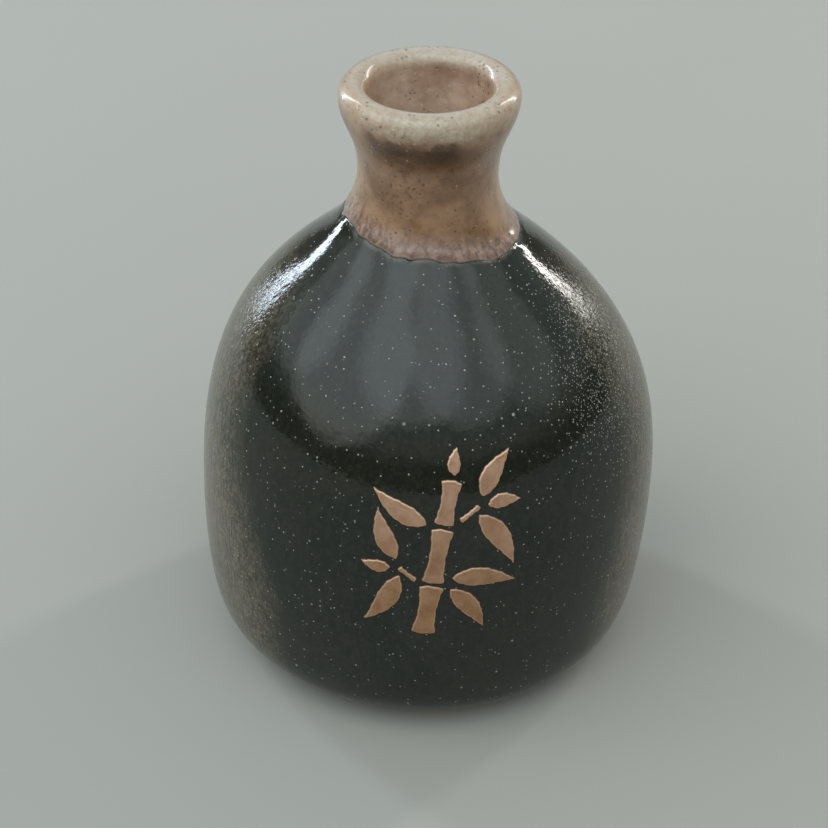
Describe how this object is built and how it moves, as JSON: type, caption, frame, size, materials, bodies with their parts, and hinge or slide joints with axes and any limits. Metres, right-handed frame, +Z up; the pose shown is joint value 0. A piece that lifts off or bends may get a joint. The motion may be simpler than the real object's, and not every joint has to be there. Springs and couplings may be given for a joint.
{
  "type": "sake bottle",
  "caption": "Squat stoneware sake bottle with a narrow throat and rolled lip, glossy dark belly, satin brown neck and a raised copper-coloured bamboo sprig.",
  "frame": {"origin": "middle of the foot, on the plane the bottle stands on", "axes": "+Z up along the axis of the pot, out of the mouth; the bamboo sprig faces -Y; +X is to the right of someone who looks at the sprig"},
  "size_m": [0.092, 0.0923, 0.122],
  "materials": {
    "stoneware_clay": "bare fired stoneware, rough, with fine grog",
    "dark_glaze": "very glossy black glaze with a green-blue tint, pale pinholes and a pimpled surface",
    "brown_glaze": "satin iron-brown glaze, mottled, turning beige at the lip and pink at its lower edge",
    "liner_glaze": "semi-gloss beige-brown glaze",
    "copper_enamel": "satin copper-gold overglaze enamel, slightly raised"
  },
  "bodies": {
    "root": {"bamboo_culm_1": "copper_enamel", "bamboo_culm_2": "copper_enamel", "bamboo_culm_3": "copper_enamel", "bamboo_leaf_1": "copper_enamel", "bamboo_leaf_10": "copper_enamel", "bamboo_leaf_2": "copper_enamel", "bamboo_leaf_3": "copper_enamel", "bamboo_leaf_4": "copper_enamel", "bamboo_leaf_5": "copper_enamel", "bamboo_leaf_6": "copper_enamel", "bamboo_leaf_7": "copper_enamel", "bamboo_leaf_8": "copper_enamel", "bamboo_leaf_9": "copper_enamel", "bamboo_twig_1": "copper_enamel", "bamboo_twig_2": "copper_enamel", "belly_glaze": "dark_glaze", "liner_glaze": "liner_glaze", "neck_glaze": "brown_glaze", "stoneware_body": "stoneware_clay"}
  },
  "joints": []
}
